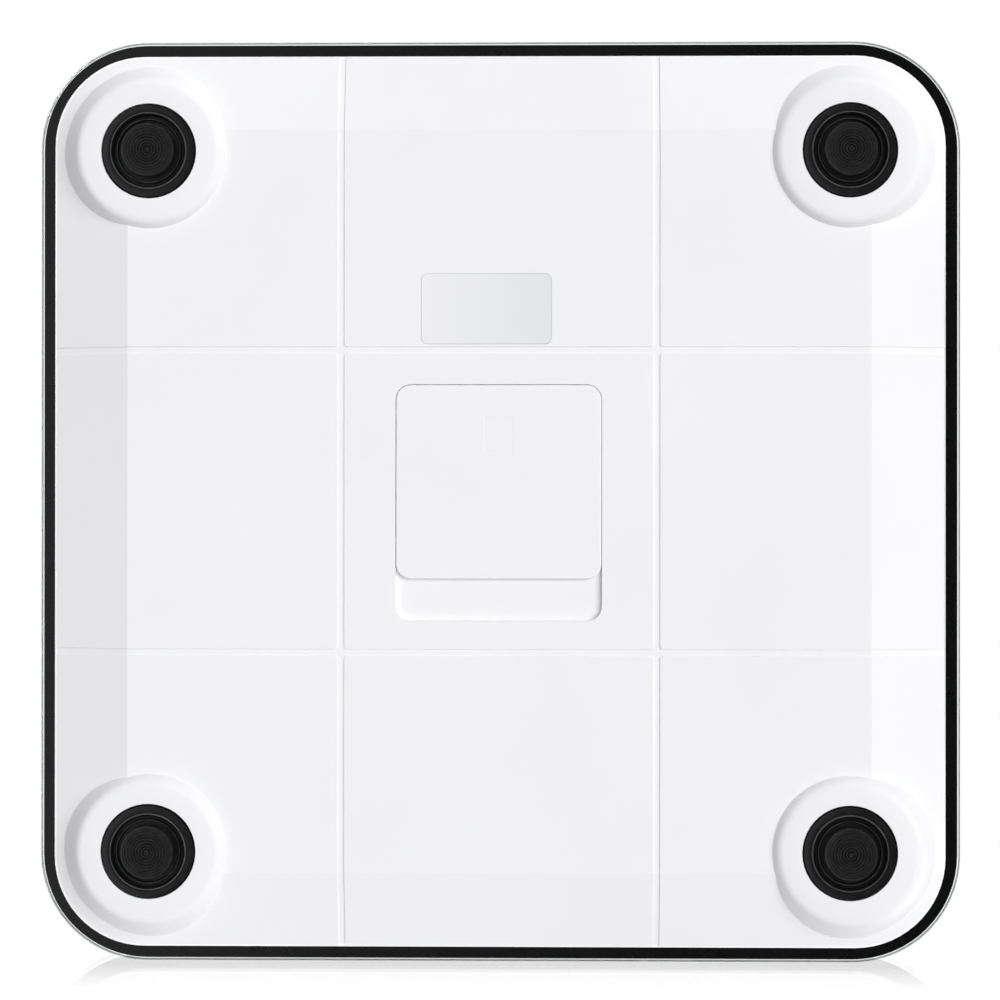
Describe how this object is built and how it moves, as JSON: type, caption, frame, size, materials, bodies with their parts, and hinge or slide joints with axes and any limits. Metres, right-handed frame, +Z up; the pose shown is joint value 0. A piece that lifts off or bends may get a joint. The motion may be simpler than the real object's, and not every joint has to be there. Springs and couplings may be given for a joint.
{
  "type": "digital bathroom scale",
  "caption": "Square glass-top bathroom scale with foot electrodes, a white moulded underside, sprung round feet and a sliding battery door.",
  "frame": {"origin": "on the floor under the middle of the platform, at the lowest face of the foot pads", "axes": "+Z up through the platform, +Y towards the display end, +X to the right of a person who faces the display"},
  "size_m": [0.3, 0.3, 0.0271],
  "materials": {
    "clear_glass": "polished, clear with a faint green edge",
    "black_enamel": "black ceramic enamel fired on the glass",
    "foam_tape": "black foam tape",
    "white_cover": "fine satin moulded ABS",
    "white_door": "fine satin moulded ABS",
    "silver_label": "silver film",
    "black_foot": "black moulded plastic",
    "rubber_pad": "black rubber",
    "steel_plate": "stamped steel",
    "grey_plastic": "moulded plastic",
    "stainless_steel": "brushed stainless steel",
    "brass_terminal": "tinned brass",
    "display_glass": "liquid crystal panel",
    "contact_rubber": "layered contact rubber",
    "board_laminate": "green solder mask",
    "black_epoxy": "black resin",
    "battery_sleeve": "printed film sleeve",
    "nickel_plate": "nickel-plated steel",
    "lead_sheath": "soft insulation"
  },
  "bodies": {
    "housing": {"glass_platform": "clear_glass", "back_print": "black_enamel", "mounting_tape": "foam_tape", "bottom_cover": "white_cover", "label_sticker": "silver_label", "load_cell_near_left": "steel_plate", "load_bracket_near_left": "grey_plastic", "load_cell_near_right": "steel_plate", "load_bracket_near_right": "grey_plastic", "load_cell_far_left": "steel_plate", "load_bracket_far_left": "grey_plastic", "load_cell_far_right": "steel_plate", "load_bracket_far_right": "grey_plastic", "electrodes": "stainless_steel", "electrode_terminals": "brass_terminal", "display_panel": "display_glass", "display_frame": "grey_plastic", "zebra_strips": "contact_rubber", "circuit_board": "board_laminate", "board_parts": "black_epoxy", "battery_1": "battery_sleeve", "battery_2": "battery_sleeve", "battery_3": "battery_sleeve", "battery_4": "battery_sleeve", "battery_plates": "nickel_plate", "battery_springs": "nickel_plate", "load_cell_leads": "lead_sheath", "electrode_leads": "lead_sheath", "battery_leads": "lead_sheath"},
    "battery_door": {"battery_door": "white_door"},
    "foot_near_left": {"foot_cup_near_left": "black_foot", "foot_pad_near_left": "rubber_pad"},
    "foot_near_right": {"foot_cup_near_right": "black_foot", "foot_pad_near_right": "rubber_pad"},
    "foot_far_left": {"foot_cup_far_left": "black_foot", "foot_pad_far_left": "rubber_pad"},
    "foot_far_right": {"foot_cup_far_right": "black_foot", "foot_pad_far_right": "rubber_pad"}
  },
  "joints": [
    {"name": "door_slide", "type": "slide", "parent": "housing", "child": "battery_door", "axis": [0, -1, 0], "range_m": [0, 0.0135]},
    {"name": "foot_press_near_left", "type": "slide", "parent": "housing", "child": "foot_near_left", "axis": [0, 0, 1], "range_m": [0, 0.0005], "stiffness_N_per_m": 100000, "deforming": ["load_cell_near_left"]},
    {"name": "foot_press_near_right", "type": "slide", "parent": "housing", "child": "foot_near_right", "axis": [0, 0, 1], "range_m": [0, 0.0005], "stiffness_N_per_m": 100000, "deforming": ["load_cell_near_right"]},
    {"name": "foot_press_far_left", "type": "slide", "parent": "housing", "child": "foot_far_left", "axis": [0, 0, 1], "range_m": [0, 0.0005], "stiffness_N_per_m": 100000, "deforming": ["load_cell_far_left"]},
    {"name": "foot_press_far_right", "type": "slide", "parent": "housing", "child": "foot_far_right", "axis": [0, 0, 1], "range_m": [0, 0.0005], "stiffness_N_per_m": 100000, "deforming": ["load_cell_far_right"]}
  ]
}
